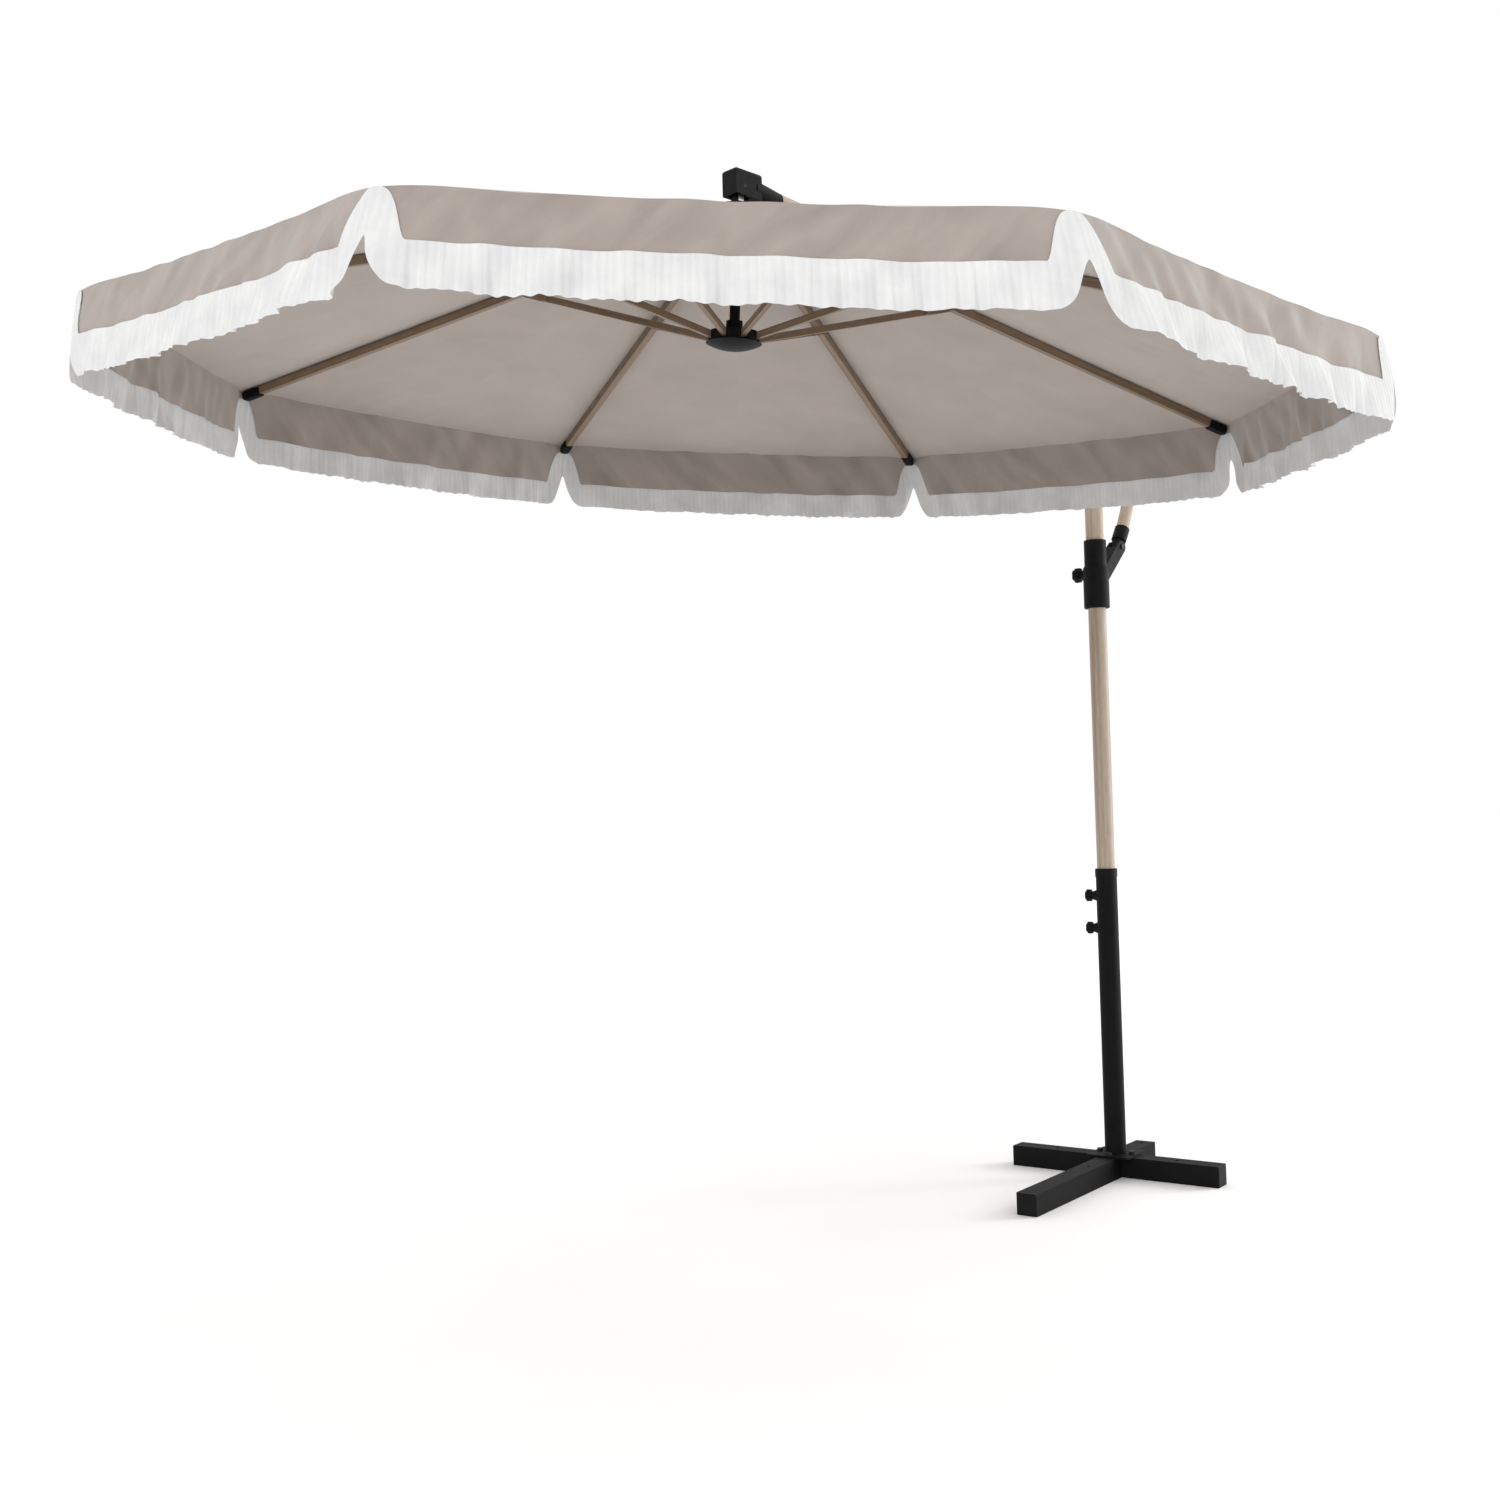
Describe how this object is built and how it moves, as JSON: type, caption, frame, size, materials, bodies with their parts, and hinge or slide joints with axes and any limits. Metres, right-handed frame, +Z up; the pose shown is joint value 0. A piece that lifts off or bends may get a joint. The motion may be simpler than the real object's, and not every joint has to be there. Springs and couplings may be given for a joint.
{
  "type": "cantilever patio umbrella",
  "caption": "Cantilever patio umbrella with a folding octagonal canopy, skirted edge, tilting boom and a cross-shaped ballasted base.",
  "frame": {"origin": "on the mast axis, at the underside of the base", "axes": "+Z up along the mast, -X from the mast towards the canopy"},
  "size_m": [3.1034, 2.7091, 2.647],
  "materials": {
    "black_powder_coat": "black powder coat, fine texture",
    "black_plastic": "black moulded plastic, satin",
    "ballast_iron": "raw cast",
    "zinc_steel": "zinc plated",
    "bearing_plastic": "plain natural plastic",
    "wood_look_tube": "light wood-grain film on steel tube",
    "stem_metal": "black powder coat",
    "brown_rib_metal": "brown wood-grain coating",
    "canopy_fabric": "woven polyester, taupe",
    "trim_fabric": "white ruffled trim"
  },
  "bodies": {
    "base": {"base_bar_long": "black_powder_coat", "base_bar_cross": "black_powder_coat", "base_end_caps": "black_plastic", "ballast_bars": "ballast_iron", "post_plate": "black_powder_coat", "plate_bolts": "zinc_steel", "post": "black_powder_coat", "post_bosses": "black_powder_coat", "post_collar": "black_plastic", "mast_socket": "black_plastic"},
    "knob_upper": {"knob_upper": "black_plastic"},
    "knob_lower": {"knob_lower": "black_plastic"},
    "mast": {"mast_tube": "wood_look_tube", "mast_plug": "black_plastic", "mast_head": "black_plastic", "pivot_bolt": "zinc_steel"},
    "slider": {"slider_housing": "black_plastic", "slider_liners": "bearing_plastic", "strut_foot_pin": "zinc_steel"},
    "slider_knob": {"slider_knob": "black_plastic"},
    "boom": {"boom_tube": "wood_look_tube", "boom_saddle": "black_plastic", "boom_bush": "bearing_plastic", "boom_rear_end": "black_plastic", "rear_pin": "zinc_steel", "boom_end_cap": "black_plastic", "level_pin": "zinc_steel"},
    "strut": {"strut_tube": "wood_look_tube", "strut_foot": "black_plastic", "strut_head": "black_plastic"},
    "hanger": {"hanger": "zinc_steel"},
    "crown": {"roll_pin": "zinc_steel", "crown": "black_plastic", "crown_cap": "black_plastic", "rib_pins": "zinc_steel", "stem": "stem_metal", "canopy_roof": "canopy_fabric", "canopy_valance": "canopy_fabric"},
    "runner": {"runner": "black_plastic", "runner_pins": "zinc_steel", "runner_dome": "black_plastic"},
    "rib_1": {"rib_1": "brown_rib_metal"},
    "stretcher_1": {"stretcher_1": "brown_rib_metal"},
    "rib_2": {"rib_2": "brown_rib_metal"},
    "stretcher_2": {"stretcher_2": "brown_rib_metal"},
    "rib_3": {"rib_3": "brown_rib_metal"},
    "stretcher_3": {"stretcher_3": "brown_rib_metal"},
    "rib_4": {"rib_4": "brown_rib_metal"},
    "stretcher_4": {"stretcher_4": "brown_rib_metal"},
    "rib_5": {"rib_5": "brown_rib_metal"},
    "stretcher_5": {"stretcher_5": "brown_rib_metal"},
    "rib_6": {"rib_6": "brown_rib_metal"},
    "stretcher_6": {"stretcher_6": "brown_rib_metal"},
    "rib_7": {"rib_7": "brown_rib_metal"},
    "stretcher_7": {"stretcher_7": "brown_rib_metal"},
    "rib_8": {"rib_8": "brown_rib_metal"},
    "stretcher_8": {"stretcher_8": "brown_rib_metal"}
  },
  "joints": [
    {"name": "knob_upper_turn", "type": "hinge", "parent": "base", "child": "knob_upper", "pos_m": [0, 0, 0.828], "axis": [-0.153, 0.9882, 0], "range_deg": [0, 360]},
    {"name": "knob_lower_turn", "type": "hinge", "parent": "base", "child": "knob_lower", "pos_m": [0, 0, 0.731], "axis": [-0.153, 0.9882, 0], "range_deg": [0, 360]},
    {"name": "mast_swivel", "type": "hinge", "parent": "base", "child": "mast", "pos_m": [0, 0, 0.9], "axis": [0, 0, 1], "continuous": true},
    {"name": "boom_tilt", "type": "hinge", "parent": "mast", "child": "boom", "pos_m": [0, 0, 2.463], "axis": [0, 1, 0], "range_deg": [-12, 6]},
    {"name": "slider_slide", "type": "slide", "parent": "mast", "child": "slider", "axis": [0, 0, 1], "range_m": [-0.0267, 0.0525]},
    {"name": "slider_knob_turn", "type": "hinge", "parent": "slider", "child": "slider_knob", "pos_m": [0, 0, 1.797], "axis": [0, 1, 0], "range_deg": [0, 360]},
    {"name": "strut_swing", "type": "hinge", "parent": "boom", "child": "strut", "pos_m": [0.24, 0, 2.427], "axis": [0, 1, 0], "range_deg": [-6.46, 12.72]},
    {"name": "canopy_level", "type": "hinge", "parent": "boom", "child": "hanger", "pos_m": [-1.483, 0, 2.606], "axis": [0, 1, 0], "range_deg": [-6, 12]},
    {"name": "canopy_roll", "type": "hinge", "parent": "hanger", "child": "crown", "pos_m": [-1.483, 0, 2.578], "axis": [1, 0, 0], "range_deg": [-20, 10]},
    {"name": "canopy_fold", "type": "hinge", "parent": "crown", "child": "rib_1", "pos_m": [-1.43681, 0.02237, 2.54181], "axis": [-0.3827, 0.9204, 0.0805], "range_deg": [0, 68], "deforming": ["canopy_roof", "canopy_valance"]},
    {"name": "stretcher_1_fold", "type": "hinge", "parent": "rib_1", "child": "stretcher_1", "pos_m": [-0.93259, 0.24317, 2.41438], "axis": [-0.3827, 0.9204, 0.0805], "range_deg": [-136, 0]},
    {"name": "runner_lift", "type": "hinge", "parent": "stretcher_1", "child": "runner", "pos_m": [-1.43681, 0.04786, 2.25055], "axis": [-0.3827, 0.9204, 0.0805], "range_deg": [0, 68]},
    {"name": "rib_2_fold", "type": "hinge", "parent": "crown", "child": "rib_2", "pos_m": [-1.46387, 0.04933, 2.54417], "axis": [-0.9239, 0.3812, 0.0334], "range_deg": [0, 68]},
    {"name": "stretcher_2_fold", "type": "hinge", "parent": "rib_2", "child": "stretcher_2", "pos_m": [-1.25501, 0.56437, 2.44249], "axis": [-0.9239, 0.3812, 0.0334], "range_deg": [-136, 0]},
    {"name": "rib_3_fold", "type": "hinge", "parent": "crown", "child": "rib_3", "pos_m": [-1.50213, 0.04933, 2.54417], "axis": [-0.9239, -0.3812, -0.0334], "range_deg": [0, 68]},
    {"name": "stretcher_3_fold", "type": "hinge", "parent": "rib_3", "child": "stretcher_3", "pos_m": [-1.71099, 0.56437, 2.44249], "axis": [-0.9239, -0.3812, -0.0334], "range_deg": [-136, 0]},
    {"name": "rib_4_fold", "type": "hinge", "parent": "crown", "child": "rib_4", "pos_m": [-1.52919, 0.02237, 2.54181], "axis": [-0.3827, -0.9204, -0.0805], "range_deg": [0, 68]},
    {"name": "stretcher_4_fold", "type": "hinge", "parent": "rib_4", "child": "stretcher_4", "pos_m": [-2.03341, 0.24317, 2.41438], "axis": [-0.3827, -0.9204, -0.0805], "range_deg": [-136, 0]},
    {"name": "rib_5_fold", "type": "hinge", "parent": "crown", "child": "rib_5", "pos_m": [-1.52919, -0.01575, 2.53848], "axis": [0.3827, -0.9204, -0.0805], "range_deg": [0, 68]},
    {"name": "stretcher_5_fold", "type": "hinge", "parent": "rib_5", "child": "stretcher_5", "pos_m": [-2.03341, -0.21107, 2.37465], "axis": [0.3827, -0.9204, -0.0805], "range_deg": [-136, 0]},
    {"name": "rib_6_fold", "type": "hinge", "parent": "crown", "child": "rib_6", "pos_m": [-1.50213, -0.04271, 2.53612], "axis": [0.9239, -0.3812, -0.0334], "range_deg": [0, 68]},
    {"name": "stretcher_6_fold", "type": "hinge", "parent": "rib_6", "child": "stretcher_6", "pos_m": [-1.71099, -0.53226, 2.34654], "axis": [0.9239, -0.3812, -0.0334], "range_deg": [-136, 0]},
    {"name": "rib_7_fold", "type": "hinge", "parent": "crown", "child": "rib_7", "pos_m": [-1.46387, -0.04271, 2.53612], "axis": [0.9239, 0.3812, 0.0334], "range_deg": [0, 68]},
    {"name": "stretcher_7_fold", "type": "hinge", "parent": "rib_7", "child": "stretcher_7", "pos_m": [-1.25501, -0.53226, 2.34654], "axis": [0.9239, 0.3812, 0.0334], "range_deg": [-136, 0]},
    {"name": "rib_8_fold", "type": "hinge", "parent": "crown", "child": "rib_8", "pos_m": [-1.43681, -0.01575, 2.53848], "axis": [0.3827, 0.9204, 0.0805], "range_deg": [0, 68]},
    {"name": "stretcher_8_fold", "type": "hinge", "parent": "rib_8", "child": "stretcher_8", "pos_m": [-0.93259, -0.21107, 2.37465], "axis": [0.3827, 0.9204, 0.0805], "range_deg": [-136, 0]}
  ],
  "couplings": [
    {"joint": "slider_slide", "follows": "boom_tilt", "m_per_rad": -0.24586},
    {"joint": "strut_swing", "follows": "boom_tilt", "ratio": -1.043},
    {"joint": "canopy_level", "follows": "boom_tilt", "ratio": -1},
    {"joint": "stretcher_1_fold", "follows": "canopy_fold", "ratio": -2},
    {"joint": "runner_lift", "follows": "canopy_fold", "ratio": 1},
    {"joint": "rib_2_fold", "follows": "canopy_fold", "ratio": 1},
    {"joint": "stretcher_2_fold", "follows": "canopy_fold", "ratio": -2},
    {"joint": "rib_3_fold", "follows": "canopy_fold", "ratio": 1},
    {"joint": "stretcher_3_fold", "follows": "canopy_fold", "ratio": -2},
    {"joint": "rib_4_fold", "follows": "canopy_fold", "ratio": 1},
    {"joint": "stretcher_4_fold", "follows": "canopy_fold", "ratio": -2},
    {"joint": "rib_5_fold", "follows": "canopy_fold", "ratio": 1},
    {"joint": "stretcher_5_fold", "follows": "canopy_fold", "ratio": -2},
    {"joint": "rib_6_fold", "follows": "canopy_fold", "ratio": 1},
    {"joint": "stretcher_6_fold", "follows": "canopy_fold", "ratio": -2},
    {"joint": "rib_7_fold", "follows": "canopy_fold", "ratio": 1},
    {"joint": "stretcher_7_fold", "follows": "canopy_fold", "ratio": -2},
    {"joint": "rib_8_fold", "follows": "canopy_fold", "ratio": 1},
    {"joint": "stretcher_8_fold", "follows": "canopy_fold", "ratio": -2}
  ]
}
